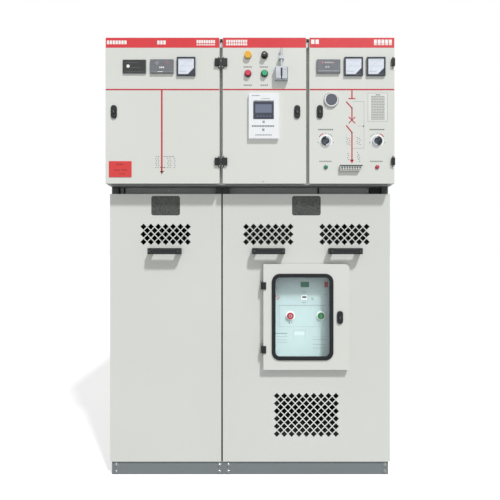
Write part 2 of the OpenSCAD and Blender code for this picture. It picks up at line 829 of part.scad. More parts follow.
// Hinge blocks that wrap from the knuckle round the door's edge on to its face
module hinge_glazed() color("black")
    for (za = [for (u = hinge_g) gz0 + u - hinge_h/2])
        difference() {
            union() {
                translate([g_pin[0], g_pin[1], za]) cylinder(h = hinge_h, r = knuckle_r);
                block([g_pin[0], g_front - leaf_out, za], [gx0, g_pin[1], za + hinge_h]);
                block([g_pin[0], g_front - leaf_out, za], [gx0 + leaf_w, g_front, za + hinge_h]);
            }
            translate([g_pin[0], g_pin[1], za - eps]) cylinder(h = hinge_h + 2*eps, r = pin_r + flush);
        }

module lock_plate_glazed() lock_plate(glock_x, glock_z, g_front);
module lock_barrel_glazed() lock_barrel(glock_x, glock_z, g_front, g_cam_y, cam_g);

plinth_left();
plinth_right();
floor_plates();
outer_sides();
inner_sides();
front_posts();
header_strip();
rear_covers();
roof_sheets();
cover_left();
cover_right();
inspection_windows();
cover_handles();
breaker_frame();
breaker_face();
breaker_collars();
box_floor();
box_back();
box_walls();
hinge_pins();
frame_lips();
door_left();
indicators_left();
meter_left();
lock_plate_left();
hinge_left();
lock_barrel_left();
door_middle();
control_rings();
lamp_yellow();
protection_relay();
interlock_lock();
lock_plate_middle();
hinge_middle();
lock_barrel_middle();
button_red();
button_green();
door_right();
indicator_right();
meters_right();
pressure_gauge();
operating_sockets();
position_lamps();
lock_plate_right();
hinge_right();
lock_barrel_right();
glazed_door();
glass_gasket();
glass_pane();
lock_plate_glazed();
hinge_glazed();
lock_barrel_glazed();
breaker_button_red();
breaker_button_green();
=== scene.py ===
import json
from math import cos, pi, radians, sin

import bmesh
import bpy
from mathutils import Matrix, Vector

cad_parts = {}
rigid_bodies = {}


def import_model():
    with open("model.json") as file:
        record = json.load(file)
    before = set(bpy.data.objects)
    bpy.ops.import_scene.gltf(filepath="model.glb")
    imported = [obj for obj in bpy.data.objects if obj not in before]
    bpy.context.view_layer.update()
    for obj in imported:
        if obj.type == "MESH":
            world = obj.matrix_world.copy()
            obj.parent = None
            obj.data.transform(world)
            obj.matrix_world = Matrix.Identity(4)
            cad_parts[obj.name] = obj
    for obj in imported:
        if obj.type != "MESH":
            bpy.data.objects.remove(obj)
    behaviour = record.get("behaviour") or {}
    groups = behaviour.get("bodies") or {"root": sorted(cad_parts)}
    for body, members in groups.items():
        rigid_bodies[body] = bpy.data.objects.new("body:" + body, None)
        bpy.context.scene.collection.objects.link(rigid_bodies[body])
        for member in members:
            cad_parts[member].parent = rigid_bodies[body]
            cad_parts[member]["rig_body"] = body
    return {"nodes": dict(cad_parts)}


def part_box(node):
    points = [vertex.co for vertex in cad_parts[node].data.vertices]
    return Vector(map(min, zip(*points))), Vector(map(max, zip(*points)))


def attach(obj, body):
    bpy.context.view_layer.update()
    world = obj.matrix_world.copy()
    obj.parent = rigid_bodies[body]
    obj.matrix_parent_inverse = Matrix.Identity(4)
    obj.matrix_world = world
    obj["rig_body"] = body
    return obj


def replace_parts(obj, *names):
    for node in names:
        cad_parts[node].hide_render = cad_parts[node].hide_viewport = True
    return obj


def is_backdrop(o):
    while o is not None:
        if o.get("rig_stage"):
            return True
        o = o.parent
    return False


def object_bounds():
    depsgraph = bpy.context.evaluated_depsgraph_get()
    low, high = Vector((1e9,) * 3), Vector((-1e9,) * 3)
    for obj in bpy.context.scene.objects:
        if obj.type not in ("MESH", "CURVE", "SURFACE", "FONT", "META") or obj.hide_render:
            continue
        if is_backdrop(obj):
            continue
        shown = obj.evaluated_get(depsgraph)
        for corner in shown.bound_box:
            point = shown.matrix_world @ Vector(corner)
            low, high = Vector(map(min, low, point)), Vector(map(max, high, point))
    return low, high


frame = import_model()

cad_low, cad_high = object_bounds()
MM = 0.001
scene = bpy.context.scene

# ---------- the studio
# The switchgear stands indoors on a plain pale floor that runs out to a white
# background. One softened lamp hangs high at the front right, and the room
# itself gives the even light that fills the shadows.

scene.view_settings.view_transform = "Standard"
WHITE_WALL = 1.0
ROOM_LIGHT = 0.48
FLOOR_REACH = 60.0
FLOOR_GLOW = 0.62
FLOOR_DROP = 0.0005     # keeps the floor clear of the plinths' undersides, in m
GLOW_GAP = 0.03         # how far inside the footprint the floor's glow begins, in m
LAMP_FROM = Vector((0.69, -1.0, 1.8))
LAMP_POWER = 2.84
LAMP_SOFTNESS = radians(5)
EYE_HEIGHT = 1.005
EYE_DISTANCE = 1.6
LENS = 25.8


def lin(hex6):
    """sRGB hex colour as the linear RGBA that a shader takes."""
    parts = [int(hex6[i:i + 2], 16) / 255 for i in (0, 2, 4)]
    return tuple(c / 12.92 if c <= 0.04045 else ((c + 0.055) / 1.055) ** 2.4 for c in parts) + (1.0,)


def shaded(hex6, *shares):
    """The linear colour with its channels scaled, all by one share or each by its own."""
    shares = shares if len(shares) > 1 else shares * 3
    return tuple(c * share for c, share in zip(lin(hex6), shares)) + (1.0,)


def add(tree, kind, inputs=None, **props):
    """A node in this tree, with its settings and links."""
    node = tree.nodes.new(kind)
    for key, value in props.items():
        setattr(node, key, value)
    for socket, value in (inputs or {}).items():
        if isinstance(value, bpy.types.NodeSocket):
            tree.links.new(value, node.inputs[socket])
        else:
            node.inputs[socket].default_value = value
    return node


def bare_material(name):
    """A new material with only its output, and the object's own coordinates to pattern it by."""
    material = bpy.data.materials.new(name)
    material.use_nodes = True
    tree = material.node_tree
    tree.nodes.clear()
    place = add(tree, "ShaderNodeTexCoord").outputs["Object"]
    return material, tree, add(tree, "ShaderNodeOutputMaterial"), place


world = bpy.data.worlds.new("white_room")
scene.world = world
world.use_nodes = True
sky = world.node_tree
sky.nodes.clear()
ray = add(sky, "ShaderNodeLightPath")
seen = add(sky, "ShaderNodeMath", {0: ray.outputs["Is Camera Ray"], 1: ray.outputs["Is Glossy Ray"]},
           operation="MAXIMUM")
seen = add(sky, "ShaderNodeMath", {0: seen.outputs[0], 1: ray.outputs["Is Transmission Ray"]},
           operation="MAXIMUM")
level = add(sky, "ShaderNodeMapRange", {"Value": seen.outputs[0], "To Min": ROOM_LIGHT,
                                        "To Max": WHITE_WALL})
air = add(sky, "ShaderNodeBackground", {"Color": (1, 1, 1, 1), "Strength": level.outputs[0]})
add(sky, "ShaderNodeOutputWorld", {"Surface": air.outputs[0]})

lamp = bpy.data.objects.new("key_lamp", bpy.data.lights.new("key_lamp", "SUN"))
lamp.data.energy = LAMP_POWER
lamp.data.angle = LAMP_SOFTNESS
lamp.rotation_euler = LAMP_FROM.to_track_quat("Z", "Y").to_euler()
scene.collection.objects.link(lamp)

camera = bpy.data.objects.new("camera", bpy.data.cameras.new("camera"))
camera.data.lens = LENS
camera.location = (0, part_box("cover_left")[0].y - EYE_DISTANCE, EYE_HEIGHT)
camera.rotation_euler = (pi / 2, 0, 0)
scene.collection.objects.link(camera)
scene.camera = camera

# Sealed concrete painted pale: it bounces a soft light up on the cabinets. To
# the eye it is lit up towards white all round them, so that their shadow stays
# but is faint; the floor under them, seen through the cable slots, stays dark.
floor_paint, tree, output, place = bare_material("pale_sealed_floor")
ray = add(tree, "ShaderNodeLightPath")
place = add(tree, "ShaderNodeVectorMath", {0: place}, operation="ABSOLUTE")
place = add(tree, "ShaderNodeSeparateXYZ", {0: place.outputs[0]})
beside = add(tree, "ShaderNodeMath", {0: place.outputs["X"], 1: cad_high.x - GLOW_GAP},
             operation="GREATER_THAN")
before = add(tree, "ShaderNodeMath", {0: place.outputs["Y"], 1: cad_high.y - GLOW_GAP},
             operation="GREATER_THAN")
outside = add(tree, "ShaderNodeMath", {0: beside.outputs[0], 1: before.outputs[0]}, operation="MAXIMUM")
strength = add(tree, "ShaderNodeMath", {0: outside.outputs[0], 1: FLOOR_GLOW}, operation="MULTIPLY")
matt = add(tree, "ShaderNodeBsdfDiffuse", {"Color": lin("BEBEBE")})
glow = add(tree, "ShaderNodeEmission", {"Color": lin("FFFFFF"), "Strength": strength.outputs[0]})
lifted = add(tree, "ShaderNodeAddShader", {0: matt.outputs[0], 1: glow.outputs[0]})
both = add(tree, "ShaderNodeMixShader", {0: ray.outputs["Is Camera Ray"], 1: matt.outputs[0],
                                         2: lifted.outputs[0]})
tree.links.new(both.outputs[0], output.inputs["Surface"])
bm = bmesh.new()
bmesh.ops.create_grid(bm, x_segments=4, y_segments=4, size=FLOOR_REACH)
floor_mesh = bpy.data.meshes.new("studio_floor")
bm.to_mesh(floor_mesh)
bm.free()
floor = bpy.data.objects.new("studio_floor", floor_mesh)
floor.location.z = -FLOOR_DROP
floor_mesh.materials.append(floor_paint)
scene.collection.objects.link(floor)
floor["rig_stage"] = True

# ---------- plinths
# Each cubicle stands on a plinth of folded 4 mm steel channel, powder-coated
# dark grey. Two hexagon bolts, one above the other, hold the front and the rear
# rail at each of their ends.

EDGE = 0.9          # how much a folded or sheared edge is rounded, in mm
PLINTH_GREY = "7B8285"


def span(*nodes):
    """Lowest and highest corner of CAD nodes, in mm."""
    boxes = [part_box(n) for n in nodes]
    low = [min(b[0][i] for b in boxes) / MM for i in range(3)]
    high = [max(b[1][i] for b in boxes) / MM for i in range(3)]
    return low, high


def powder_coat(name, paint, gloss=0.42):
    """Baked polyester powder on steel: even colour, a faint orange peel and a soft sheen.

    Faces turned down take about 0.3 of the paint's colour: painted shade for undersides out of the light.
    """
    material, tree, output, place = bare_material(name)
    peel_mm, drift_mm, smear_mm = 2.5, 420, 60
    peel = add(tree, "ShaderNodeTexNoise", {"Vector": place, "Scale": 1000 / peel_mm, "Detail": 2.0})
    drift = add(tree, "ShaderNodeTexNoise", {"Vector": place, "Scale": 1000 / drift_mm, "Detail": 3.0})
    smear = add(tree, "ShaderNodeTexNoise", {"Vector": place, "Scale": 1000 / smear_mm, "Detail": 4.0})
    shade = add(tree, "ShaderNodeMapRange", {"Value": drift.outputs["Fac"], "From Min": 0.3, "From Max": 0.7,
                                             "To Min": 0.0, "To Max": 1.0})
    tint = add(tree, "ShaderNodeMix", {"Factor": shade.outputs[0], "A": shaded(paint, 0.965, 0.965, 0.95),
                                       "B": lin(paint)}, data_type="RGBA")
    # Painted shade: faces turned down blend to a darker copy of the paint.
    facing = add(tree, "ShaderNodeSeparateXYZ", {0: add(tree, "ShaderNodeNewGeometry").outputs["Normal"]})
    down = add(tree, "ShaderNodeMapRange", {"Value": facing.outputs["Z"], "From Min": -0.6,
                                            "From Max": -0.95})
    tint = add(tree, "ShaderNodeMix", {"Factor": down.outputs[0], "A": tint.outputs["Result"],
                                       "B": shaded(paint, 0.28, 0.30, 0.31)}, data_type="RGBA")
    rough = add(tree, "ShaderNodeMapRange", {"Value": smear.outputs["Fac"], "To Min": gloss - 0.08,
                                             "To Max": gloss + 0.10})
    bump = add(tree, "ShaderNodeBump", {"Height": peel.outputs["Fac"], "Strength": 0.25,
                                        "Distance": 0.05 * MM})
    shader = add(tree, "ShaderNodeBsdfPrincipled", {"Base Color": tint.outputs["Result"], "IOR": 1.5,
                                                    "Roughness": rough.outputs[0],
                                                    "Normal": bump.outputs[0]})
    tree.links.new(shader.outputs[0], output.inputs["Surface"])
    return material


def zinc_plate(name, colour="B9BCBA", roughness=0.34):
    """Bright zinc-plated steel: grey-white metal with a fine rolled grain."""
    material, tree, output, place = bare_material(name)
    grain_mm, cloud_mm = 0.8, 25
    grain = add(tree, "ShaderNodeTexNoise", {"Vector": place, "Scale": 1000 / grain_mm, "Detail": 2.0})
    cloud = add(tree, "ShaderNodeTexNoise", {"Vector": place, "Scale": 1000 / cloud_mm, "Detail": 3.0})
    tint = add(tree, "ShaderNodeMix", {"Factor": cloud.outputs["Fac"], "A": shaded(colour, 0.86, 0.87, 0.88),
                                       "B": lin(colour)}, data_type="RGBA")
    rough = add(tree, "ShaderNodeMapRange", {"Value": cloud.outputs["Fac"], "To Min": roughness - 0.08,
                                             "To Max": roughness + 0.12})
    bump = add(tree, "ShaderNodeBump", {"Height": grain.outputs["Fac"], "Strength": 0.15,
                                        "Distance": 0.02 * MM})
    shader = add(tree, "ShaderNodeBsdfPrincipled", {"Base Color": tint.outputs["Result"], "Metallic": 1.0,
                                                    "Roughness": rough.outputs[0],
                                                    "Normal": bump.outputs[0]})
    tree.links.new(shader.outputs[0], output.inputs["Surface"])
    return material


def eased(node, finish, width=EDGE, segments=2, corners=()):
    """The node's own shape with its sharp edges rounded, standing for that node.

    Each of corners is (x, z, radius) in mm: a front-to-back edge rounded that much more.
    """
    source = frame["nodes"][node]
    bm = bmesh.new()
    bm.from_mesh(source.data)
    bmesh.ops.remove_doubles(bm, verts=bm.verts, dist=0.01 * MM)
    bmesh.ops.dissolve_limit(bm, angle_limit=radians(1), verts=bm.verts, edges=bm.edges)
    for x, z, radius in corners:
        near = [e for e in bm.edges
                if all(abs(v.co.x - x * MM) < 0.1 * MM and abs(v.co.z - z * MM) < 0.1 * MM for v in e.verts)]
        bmesh.ops.bevel(bm, geom=near, offset=radius * MM, segments=6, profile=0.5, affect="EDGES")
    mesh = bpy.data.meshes.new(node + "_sheet")
    bm.to_mesh(mesh)
    bm.free()
    mesh.materials.append(finish)
    piece = bpy.data.objects.new(node + "_piece", mesh)
    scene.collection.objects.link(piece)
    mesh.polygons.foreach_set("use_smooth", [True] * len(mesh.polygons))
    mesh.set_sharp_from_angle(angle=radians(30))
    if width:
        bevel = piece.modifiers.new("eased_edges", "BEVEL")
        bevel.width = width * MM
        bevel.segments = segments
        bevel.limit_method = "ANGLE"
        bevel.angle_limit = radians(35)
        bevel.harden_normals = True
    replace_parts(piece, node)
    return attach(piece, source["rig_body"])


def keep(node, finish):
    """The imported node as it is, in its finish."""
    target = frame["nodes"][node]
    if not target.material_slots:
        target.data.materials.append(None)
    for part in target.material_slots:
        part.link = "OBJECT"
        part.material = finish


def mesh_from(name, bm):
    """The mesh of a shape drawn in mm."""
    bmesh.ops.recalc_face_normals(bm, faces=bm.faces)
    bmesh.ops.scale(bm, vec=(MM, MM, MM), verts=bm.verts)
    mesh = bpy.data.meshes.new(name)
    bm.to_mesh(mesh)
    bm.free()
    return mesh


def place_mesh(name, bm, finish, body):
    """Turns a shape drawn in mm into a piece that rides on a body."""
    mesh = mesh_from(name, bm)
    mesh.materials.append(finish)
    mesh.polygons.foreach_set("use_smooth", [True] * len(mesh.polygons))
    mesh.set_sharp_from_angle(angle=radians(35))
    piece = bpy.data.objects.new(name, mesh)
    scene.collection.objects.link(piece)
    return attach(piece, body)


def turned(bm, centre, out, profile, steps=24):
    """Adds a turned shape: profile is (radius, distance out) from its seat."""
    out = Vector(out).normalized()
    side = out.orthogonal().normalized()
    up = out.cross(side)
    rings = []
    for radius, reach in profile:
        middle = Vector(centre) + out * reach
        if radius < 0.01:
            rings.append([bm.verts.new(middle)])
            continue
        angles = [2 * pi * k / steps for k in range(steps)]
        rings.append([bm.verts.new(middle + side * radius * cos(t) + up * radius * sin(t)) for t in angles])
    for lower, upper in zip(rings, rings[1:]):
        for k in range(steps):
            a, b = lower[k % len(lower)], lower[(k + 1) % len(lower)]
            c, d = upper[(k + 1) % len(upper)], upper[k % len(upper)]
            corners = list(dict.fromkeys((a, b, c, d)))
            if len(corners) > 2:
                bm.faces.new(corners)


def hexagon_bolts(name, places, out, body, finish, flats):
    """Hexagon heads, flats mm wide across them, on washers; one at each place, all on one piece."""
    bm = bmesh.new()
    for centre in places:
        turned(bm, centre, out, [(0, 0), (flats * 0.95, 0), (flats * 0.95, 1.2), (flats * 0.5, 1.2)])
        r = flats * 0.577
        turned(bm, centre, out, [(r, 1.0), (r, 4.6), (r * 0.85, 5.4), (0, 5.4)], 6)
    return place_mesh(name, bm, finish, body)


def pan_screws(name, places, body, finish, radius):
    """Pan heads with a socket, facing the front, one at each place, all on one piece."""
    bm = bmesh.new()
    for centre in places:
        turned(bm, centre, (0, -1, 0), [(0, 0), (radius, 0), (radius, 0.8), (radius * 0.86, 1.9),
                                        (radius * 0.5, 2.5)])
        turned(bm, centre, (0, -1, 0), [(radius * 0.5, 2.5), (radius * 0.42, 1.1), (0, 1.1)])
    return place_mesh(name, bm, finish, body)


plinth_paint = powder_coat("powder_coat_plinth_grey", PLINTH_GREY, 0.5)
zinc = zinc_plate("zinc_plated_steel")
bolt_rows = (15, 45)
for node, ends in (("plinth_left", (22, 11)), ("plinth_right", (28, 16))):
    eased(node, plinth_paint)
    low, high = span(node)
    for name, face, out in (("_bolts", low[1], -1), ("_rear_bolts", high[1], 1)):
        places = [(x, face, z) for x in (low[0] + ends[0], high[0] - ends[1]) for z in bolt_rows]
        hexagon_bolts(node + name, places, (0, out, 0), "cubicles", zinc, 9.0)

# ---------- cubicle shells
# Side sheets, rear covers, roofs and floor plates of both cubicles: 2 mm steel,
# folded, welded at the corners and powder-coated light grey. The rear covers
# are screwed on all round, with heads sunk flush in the sheet.

SHELL_GREY = "DBDDD9"
shell_paint = powder_coat("powder_coat_light_grey", SHELL_GREY)
for node in ("outer_sides", "roof_sheets", "floor_plates", "box_walls"):
    eased(node, shell_paint, 0.6)
rear = eased("rear_covers", shell_paint, 0.6)
keep("box_back", shell_paint)
keep("box_floor", shell_paint)

low, high = span("rear_covers")
seam = (span("cover_left")[1][0] + span("cover_right")[0][0]) / 2
split = (span("door_middle")[1][0] + span("door_right")[0][0]) / 2
inset = 14.0
rows = 6
screws = []
for left, right in ((low[0], seam), (seam, high[0])):
    for k in range(rows):
        z = low[2] + inset + (high[2] - low[2] - 2 * inset) * k / (rows - 1)
        screws += [(left + inset, high[1], z), (right - inset, high[1], z)]
    for z in (low[2] + inset, high[2] - inset):
        screws.append(((left + right) / 2, high[1], z))
sinks, heads = bmesh.new(), bmesh.new()
# Each profile is in mm from the sheet's face: the sink first, then the head in it.
for centre in screws:
    turned(sinks, centre, (0, 1, 0), [(0, -1.5), (3.6, -1.5), (5.6, 0.5), (0, 0.5)])
    turned(heads, centre, (0, 1, 0), [(0, -1.9), (3.4, -1.9), (4.7, -0.4), (2.4, -0.4), (2.2, -1.3),
                                      (0, -1.3)])
place_mesh("rear_cover_screws", heads, zinc, "cubicles")
cutter = bpy.data.objects.new("countersinks", mesh_from("countersinks", sinks))
scene.collection.objects.link(cutter)
drill = rear.modifiers.new("countersinks", "BOOLEAN")
drill.object = cutter
drill.solver = "EXACT"
bpy.context.view_layer.update()
drilled = bpy.data.meshes.new_from_object(rear.evaluated_get(bpy.context.evaluated_depsgraph_get()))
rear.modifiers.clear()
rear.data = drilled
bpy.data.objects.remove(cutter)

# ---------- posts and header
# Behind the lower covers stand folded posts, and between the cubicles two inner
# side sheets, powder-coated dark grey as painted shade for the deep seam, where
# both show. Above the covers a recessed header strip in mid grey carries the joint
# to the instrument box, with small wiring clips on it and one black block, which is
# painted shade where the strip shows a dark open gap.

STRIP_GREY = "A3A9A8"
strip_paint = powder_coat("powder_coat_header_grey", STRIP_GREY, 0.5)
# Painted shade: the posts and inner sides are near black so that the seam between the covers reads dark.
seam_shade_post_paint = powder_coat("powder_coat_post_grey", "3A3D3C", 0.55)
lip_paint = powder_coat("powder_coat_lip_grey", "D2D5CF", 0.5)
eased("front_posts", seam_shade_post_paint, 0.5)
eased("inner_sides", seam_shade_post_paint, 0.6)
eased("header_strip", strip_paint, 0.4)
eased("frame_lips", lip_paint, 0.3)


def dull_black(name, colour, roughness, sheen=0.5):
    """Glass-filled nylon or ABS, moulded: near black with a fine spark-eroded grain."""
    material, tree, output, place = bare_material(name)
    grain_mm = 0.9
    grain = add(tree, "ShaderNodeTexNoise", {"Vector": place, "Scale": 1000 / grain_mm, "Detail": 2.0})
    worn_per_m = 45.0
    worn = add(tree, "ShaderNodeTexNoise", {"Vector": place, "Scale": worn_per_m, "Detail": 3.0})
    tint = add(tree, "ShaderNodeMix", {"Factor": worn.outputs["Fac"], "A": shaded(colour, 0.8),
                                       "B": shaded(colour, 1.25)}, data_type="RGBA")
    rough = add(tree, "ShaderNodeMapRange", {"Value": worn.outputs["Fac"], "To Min": roughness - 0.1,
                                             "To Max": roughness + 0.12})
    bump = add(tree, "ShaderNodeBump", {"Height": grain.outputs["Fac"], "Strength": 0.3,
                                        "Distance": 0.03 * MM})
    shader = add(tree, "ShaderNodeBsdfPrincipled", {"Base Color": tint.outputs["Result"], "IOR": 1.5,
                                                    "Specular IOR Level": sheen,
                                                    "Roughness": rough.outputs[0],
                                                    "Normal": bump.outputs[0]})
    tree.links.new(shader.outputs[0], output.inputs["Surface"])
    return material


def box_between(bm, a, b):
    """Adds a box between two corners."""
    corners = [(x, y, z) for x in (a[0], b[0]) for y in (a[1], b[1]) for z in (a[2], b[2])]
    v = [bm.verts.new(p) for p in corners]
    for quad in ((0, 1, 3, 2), (4, 6, 7, 5), (0, 4, 5, 1), (2, 3, 7, 6), (0, 2, 6, 4), (1, 5, 7, 3)):
        bm.faces.new([v[k] for k in quad])


black_nylon = dull_black("black_glass_filled_nylon", "262829", 0.55, 0.3)
low, high = span("header_strip")
strip_front = low[1]
clips_and_gap_shade = bmesh.new()
for x, w in ((low[0] + 44, 6), (split + 60, 7), (split - 408, 4), (seam - 26, 5)):
    box_between(clips_and_gap_shade, (x, strip_front - 5, low[2] + 3), (x + w, strip_front, high[2] - 1))
# Painted shade: a black block where the strip shows a dark open gap.
box_between(clips_and_gap_shade, (split + 297, strip_front - 14, low[2] + 4), (split + 337, strip_front, high[2] - 3))
place_mesh("header_clips", clips_and_gap_shade, black_nylon, "cubicles")
pan_screws("header_screws", [(seam - 247, strip_front, high[2] - 9),
                             (split + 292, strip_front, high[2] - 12)], "cubicles", zinc, 5.5)

# ---------- lower covers
# One pan-folded front cover on each cubicle, 2 mm steel, powder-coated like the
# shell, that lifts off by its handles. The vent fields are square holes punched
# on their corners, so only thin webs stand between them.

for node in ("cover_left", "cover_right"):
    eased(node, shell_paint, 0.35, 1)

# ---------- inspection windows
# Small windows with cut corners, glazed in dark tinted polycarbonate over a
# fine metal screen that shows through as faint cells.

window_tint, tree, output, place = bare_material("tinted_polycarbonate_over_mesh")
mesh_mm = 6.5       # drawn coarser than the real 1.5 mm screen, so that it shows
weave = add(tree, "ShaderNodeVectorMath", {0: place, 1: (1000 / mesh_mm,) * 3}, operation="MULTIPLY")
cells = add(tree, "ShaderNodeTexVoronoi", {"Vector": weave.outputs[0], "Scale": 1.0, "Randomness": 0.25},
            feature="DISTANCE_TO_EDGE")
clouds_per_m = 22.0
cloud = add(tree, "ShaderNodeTexNoise", {"Vector": place, "Scale": clouds_per_m, "Detail": 2.0})
shade = add(tree, "ShaderNodeMapRange", {"Value": cloud.outputs["Fac"], "From Min": 0.38, "From Max": 0.62})
wires = add(tree, "ShaderNodeMapRange", {"Value": cells.outputs["Distance"], "From Min": 0.02,
                                         "From Max": 0.25})
dark = add(tree, "ShaderNodeMix", {"Factor": shade.outputs[0], "A": lin("0C0E0C"), "B": lin("383A38")},
           data_type="RGBA")
tone = add(tree, "ShaderNodeMix", {"Factor": wires.outputs[0], "A": lin("555754"),
                                   "B": dark.outputs["Result"]}, data_type="RGBA")
shader = add(tree, "ShaderNodeBsdfPrincipled", {"Base Color": tone.outputs["Result"], "IOR": 1.58,
                                                "Roughness": 0.22, "Specular IOR Level": 0.3})
tree.links.new(shader.outputs[0], output.inputs["Surface"])
eased("inspection_windows", window_tint, 0.3, 1)

# ---------- cover handles
# Bow handles moulded in black nylon, each with two fine ribs along its bar and a
# socket screw at each end. Ribs and screws are a lighter grey than the bar: painted
# highlight, together with wear.

eased("cover_handles", black_nylon, 2.6, 4)
low, high = span("cover_handles")
handle_z = (low[2] + high[2]) / 2
handle_length, rib_rise, screw_in = 145.0, 6.5, 9
left_cover, right_cover = span("cover_left"), span("cover_right")
left_middle = (left_cover[0][0] + left_cover[1][0]) / 2
right_middle = (right_cover[0][0] + right_cover[1][0]) / 2
right_hand = high[0] - handle_length / 2
handle_x = (left_middle, 2 * right_middle - right_hand, right_hand)


def rounded_outline(x, z, width, height, radius, steps=6):
    """Corner points of a rounded rectangle centred at x, z."""
    points = []
    for k, (sx, sz) in enumerate(((1, 1), (-1, 1), (-1, -1), (1, -1))):
        cx = x + sx * (width / 2 - radius)
        cz = z + sz * (height / 2 - radius)
        for n in range(steps + 1):
            angle = k * pi / 2 + n * pi / 2 / steps
            points.append((cx + radius * cos(angle), cz + radius * sin(angle)))
    return points


def slab(bm, outline, y_front, y_back):
    """Adds a flat outline in X and Z, given a thickness from front to back."""
    front = [bm.verts.new((x, y_front, z)) for x, z in outline]
    rear = [bm.verts.new((x, y_back, z)) for x, z in outline]
    bm.faces.new(front)
    bm.faces.new(rear[::-1])
    for k in range(len(outline)):
        n = (k + 1) % len(outline)
        bm.faces.new((front[k], front[n], rear[n], rear[k]))


ribs = bmesh.new()
for x in handle_x:
    for side in (-1, 1):
        slab(ribs, rounded_outline(x, handle_z + side * rib_rise, handle_length - 40, 1.6, 0.8, 3),
             low[1] - 0.5, low[1] + 0.2)
    for side in (-1, 1):
        turned(ribs, (x + side * (handle_length / 2 - screw_in), low[1], handle_z), (0, -1, 0),
               [(0, 0), (6.0, 0), (6.0, 0.5), (4.4, 0.5), (4.2, 0.2), (0, 0.2)], 20)
# Painted highlight with wear: the ribs and screw heads are lighter than the bar.
place_mesh("handle_ribs", ribs, dull_black("worn_black_nylon", "3E4143", 0.4, 0.3), "cubicles")

# ---------- breaker front
# The vacuum breaker's own front plate closes the back of a recess lined with
# sheet: a moulded panel in pale blue-green with printed markings, an off and an
# on button in white collars, and a small counter window.


def moulded(name, colour, roughness=0.38, coat=0.0, spread=0.04):
    """ABS or PVC, moulded and plain coloured, with the slight flow tint of a moulding."""
    material, tree, output, place = bare_material(name)
    flow_mm = 30
    flow = add(tree, "ShaderNodeTexNoise", {"Vector": place, "Scale": 1000 / flow_mm, "Detail": 2.0})
    tint = add(tree, "ShaderNodeMix", {"Factor": flow.outputs["Fac"], "A": shaded(colour, 1 - spread),
                                       "B": shaded(colour, 1 + spread)}, data_type="RGBA")
    rough = add(tree, "ShaderNodeMapRange", {"Value": flow.outputs["Fac"], "To Min": roughness - 0.06,
                                             "To Max": roughness + 0.08})
    shader = add(tree, "ShaderNodeBsdfPrincipled", {"Base Color": tint.outputs["Result"], "IOR": 1.49,
                                                    "Roughness": rough.outputs[0], "Coat Weight": coat})
    tree.links.new(shader.outputs[0], output.inputs["Surface"])
    return material


FILM = 0.25         # thickness of printed film, in mm


def film(name, outlines, y, finish, body, thick=FILM, at=(0, 0)):
    """Printed film or ink on a face at depth y: each outline is a patch, measured from at."""
    bm = bmesh.new()
    for outline in outlines:
        slab(bm, [(x + at[0], z + at[1]) for x, z in outline], y - thick, y)
    return place_mesh(name, bm, finish, body)


def patch(x0, z0, x1, z1):
    """Rectangle between two corners."""
    return [(x0, z0), (x1, z0), (x1, z1), (x0, z1)]


def dashes(x0, x1, z, height, count, share=0.72):
    """A plain bar broken into short equal dashes."""
    pitch = (x1 - x0) / count
    return [patch(x0 + k * pitch, z - height / 2, x0 + (k + share) * pitch, z + height / 2)
            for k in range(count)]


def stroke(points, width):
    """Straight runs of line through the points, one rectangle a run."""
    runs = []
    for (xa, za), (xb, zb) in zip(points, points[1:]):
        along = Vector((xb - xa, zb - za)).normalized()
        side = Vector((-along.y, along.x)) * width / 2
        reach = along * width / 2 if len(points) > 2 else Vector((0, 0))
        a = Vector((xa, za)) - reach
        b = Vector((xb, zb)) + reach
        runs.append([tuple(a + side), tuple(b + side), tuple(b - side), tuple(a - side)])
    return runs


def arc_band(x, z, radius, width, start=0, end=360, steps=24):
    """A curved line round x, z from one angle in degrees to another."""
    outer, inner = [], []
    for k in range(steps + 1):
        angle = radians(start + (end - start) * k / steps)
        for points, r in ((outer, radius + width / 2), (inner, radius - width / 2)):
            points.append((x + r * cos(angle), z + r * sin(angle)))
    return [outer + inner[::-1]]


def dot(x, z, radius, steps):
    """A round patch."""
    turns = [2 * pi * k / steps for k in range(steps)]
    return [(x + radius * cos(t), z + radius * sin(t)) for t in turns]


eased("breaker_frame", shell_paint, 0.5)
eased("breaker_face", moulded("moulded_pale_blue_panel", "C1D5D6"), 0.3, 1)
white_abs = moulded("white_abs", "F8FAFA", 0.32, 0.0, 0.015)
eased("breaker_collars", white_abs, 0.8)
eased("breaker_button_red", moulded("red_button_abs", "A5122A", 0.35), 1.2, 3)
eased("breaker_button_green", moulded("green_button_abs", "067A42", 0.35), 1.2, 3)
ink_grey = moulded("screen_printed_grey", "6A7474", 0.5)
ink_faint = moulded("screen_printed_faint_grey", "9AA6A6", 0.5)
ink_dark = moulded("screen_printed_dark", "3B4343", 0.5)
ink_white = moulded("screen_printed_white", "F7F7F5", 0.45)
label_green = moulded("green_label_film", "24755A", 0.4)
label_red = moulded("red_label_film", "B8434B", 0.4)
label_pink = moulded("pink_label_film", "C4606A", 0.4)

# The print is measured from the middles of the off and the on button.
face_y = span("breaker_face")[0][1]
red_low, red_high = span("breaker_button_red")
green_low, green_high = span("breaker_button_green")
press_z = (red_low[2] + red_high[2]) / 2
off = ((red_low[0] + red_high[0]) / 2, press_z)
on = ((green_low[0] + green_high[0]) / 2, press_z)
apart = on[0] - off[0]
rim = 1.0
film("breaker_label_green", [patch(47, 129, 85, 153)], face_y, label_green, "cubicles", at=off)
film("breaker_label_red", [patch(16, 129, 33, 153)], face_y, label_red, "cubicles", at=on)
film("breaker_label_pink", stroke([(-66, 92), (-52, 74)], 3) + arc_band(-59, 83, 9, 2.2), face_y, label_pink,
     "cubicles", at=off)
film("breaker_counter_rim", [rounded_outline(63, 83, 26, 22, 3)], face_y, white_abs, "cubicles",
     rim, off)
film("breaker_counter_window", [patch(54, 80, 73, 88)], face_y - rim, ink_dark, "cubicles",
     at=off)
